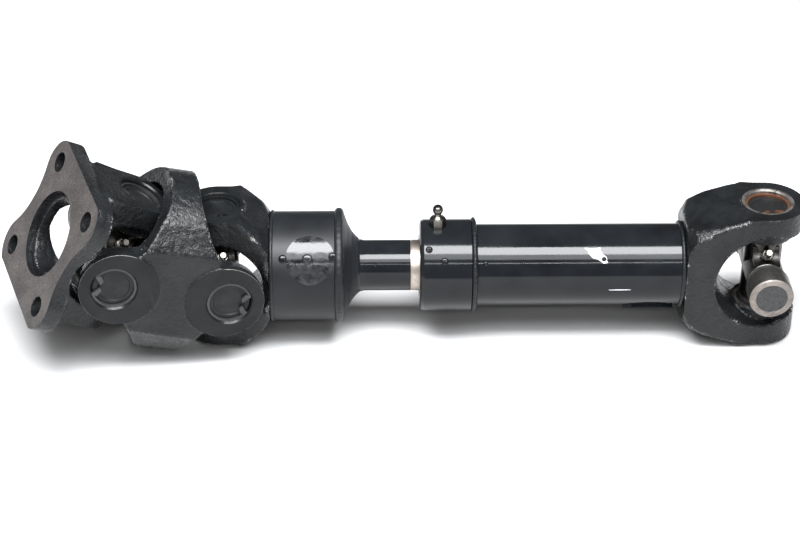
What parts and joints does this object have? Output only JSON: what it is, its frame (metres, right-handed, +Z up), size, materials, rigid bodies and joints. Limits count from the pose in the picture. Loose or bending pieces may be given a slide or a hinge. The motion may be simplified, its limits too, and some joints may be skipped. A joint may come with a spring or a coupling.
{
  "type": "universal joint shaft",
  "caption": "Propeller shaft with a bent double universal joint and lobed flange at one end, a splined slip tube, and a forked yoke with an open cross at the other.",
  "frame": {"origin": "centre of the lobed flange's mounting face, on the flange's own axis", "axes": "+X runs along the shaft's tube from the flange end to the forked end yoke, +Z is up along the end yoke's ears, +Y is away from the near side; the double joint rests at its bent angle, so the flange's own axis leans out of +X"},
  "size_m": [0.4958, 0.1202, 0.1308],
  "materials": {
    "forging_paint": "black paint over a rough forging, worn to bare steel on machined faces",
    "gloss_paint": "gloss black",
    "weld_paint": "gloss black over weld bead",
    "stub_steel": "turned steel, painted up to the slip land",
    "bearing_steel": "ground bearing steel with grease film",
    "cross_steel": "forged and ground steel",
    "snap_ring_steel": "phosphated spring steel",
    "roller_steel": "polished",
    "seal_rubber": "black",
    "fitting_zinc": "zinc plated",
    "hardened_steel": "hardened and greased"
  },
  "bodies": {
    "flange_yoke": {"flange_yoke": "forging_paint", "flange_cup_upper": "bearing_steel", "flange_cup_lower": "bearing_steel", "flange_snap_rings": "snap_ring_steel", "flange_needles": "roller_steel", "flange_seals": "seal_rubber", "centring_socket": "hardened_steel", "centring_spring": "hardened_steel", "centring_seal": "seal_rubber"},
    "front_cross": {"front_cross": "cross_steel", "front_grease_fitting": "fitting_zinc"},
    "centre_yoke": {"centre_yoke": "forging_paint", "centre_cup_front_near": "bearing_steel", "centre_cup_front_far": "bearing_steel", "centre_cup_rear_near": "bearing_steel", "centre_cup_rear_far": "bearing_steel", "centre_front_snap_rings": "snap_ring_steel", "centre_rear_snap_rings": "snap_ring_steel", "centre_front_needles": "roller_steel", "centre_rear_needles": "roller_steel", "centre_front_seals": "seal_rubber", "centre_rear_seals": "seal_rubber"},
    "rear_cross": {"rear_cross": "cross_steel", "rear_grease_fitting": "fitting_zinc"},
    "slip_shaft": {"tube_yoke": "forging_paint", "tube_yoke_cup_upper": "bearing_steel", "tube_yoke_cup_lower": "bearing_steel", "tube_yoke_snap_rings": "snap_ring_steel", "tube_yoke_needles": "roller_steel", "tube_yoke_seals": "seal_rubber", "centring_ball_stud": "hardened_steel", "short_tube": "gloss_paint", "front_weld": "weld_paint", "stub_weld": "weld_paint", "slip_stub": "stub_steel"},
    "sleeve_shaft": {"slip_sleeve": "gloss_paint", "sleeve_seal": "seal_rubber", "sleeve_grease_fitting": "fitting_zinc", "sleeve_weld": "weld_paint", "main_tube": "gloss_paint", "sleeve_plug": "hardened_steel", "end_weld": "weld_paint", "balance_weight": "gloss_paint", "end_yoke": "forging_paint", "end_cup_upper": "bearing_steel", "end_cup_lower": "bearing_steel", "end_snap_rings": "snap_ring_steel", "end_needles": "roller_steel", "end_seals": "seal_rubber"},
    "end_cross": {"end_cross": "cross_steel", "end_grease_fitting": "fitting_zinc"},
    "free_cup_near": {"free_cup_near": "bearing_steel", "free_needles_near": "roller_steel", "free_seal_near": "seal_rubber"},
    "free_cup_far": {"free_cup_far": "bearing_steel", "free_needles_far": "roller_steel", "free_seal_far": "seal_rubber"}
  },
  "joints": [
    {"name": "front_ear_swing", "type": "hinge", "parent": "flange_yoke", "child": "front_cross", "pos_m": [0.03282, 0.01398, -0.02121], "axis": [0.5112, 0.0961, 0.8541], "range_deg": [-1, 22.3]},
    {"name": "front_side_swing", "type": "hinge", "parent": "front_cross", "child": "centre_yoke", "pos_m": [0.03282, 0.01398, -0.02121], "axis": [-0.1848, 0.9828, 0], "range_deg": [-1.5, 32]},
    {"name": "rear_side_swing", "type": "hinge", "parent": "centre_yoke", "child": "rear_cross", "pos_m": [0.10005, 0.02662, -0.0404], "axis": [-0.1848, 0.9828, 0], "range_deg": [-1.5, 32]},
    {"name": "rear_ear_swing", "type": "hinge", "parent": "rear_cross", "child": "slip_shaft", "pos_m": [0.10005, 0.02662, -0.0404], "axis": [0, 0, 1], "range_deg": [-1, 22.3]},
    {"name": "spline_slide", "type": "slide", "parent": "slip_shaft", "child": "sleeve_shaft", "axis": [1, 0, 0], "range_m": [-0.025, 0.04]},
    {"name": "end_swing", "type": "hinge", "parent": "sleeve_shaft", "child": "end_cross", "pos_m": [0.43725, 0.02662, -0.0404], "axis": [0, 0, 1], "range_deg": [-24, 24]},
    {"name": "free_cup_near_spin", "type": "hinge", "parent": "end_cross", "child": "free_cup_near", "pos_m": [0.43725, 0.02662, -0.0404], "axis": [0, -1, 0], "continuous": true},
    {"name": "free_cup_far_spin", "type": "hinge", "parent": "end_cross", "child": "free_cup_far", "pos_m": [0.43725, 0.02662, -0.0404], "axis": [0, 1, 0], "continuous": true}
  ],
  "couplings": [
    {"joint": "rear_ear_swing", "follows": "front_ear_swing", "ratio": 1},
    {"joint": "rear_side_swing", "follows": "front_side_swing", "ratio": 1}
  ]
}
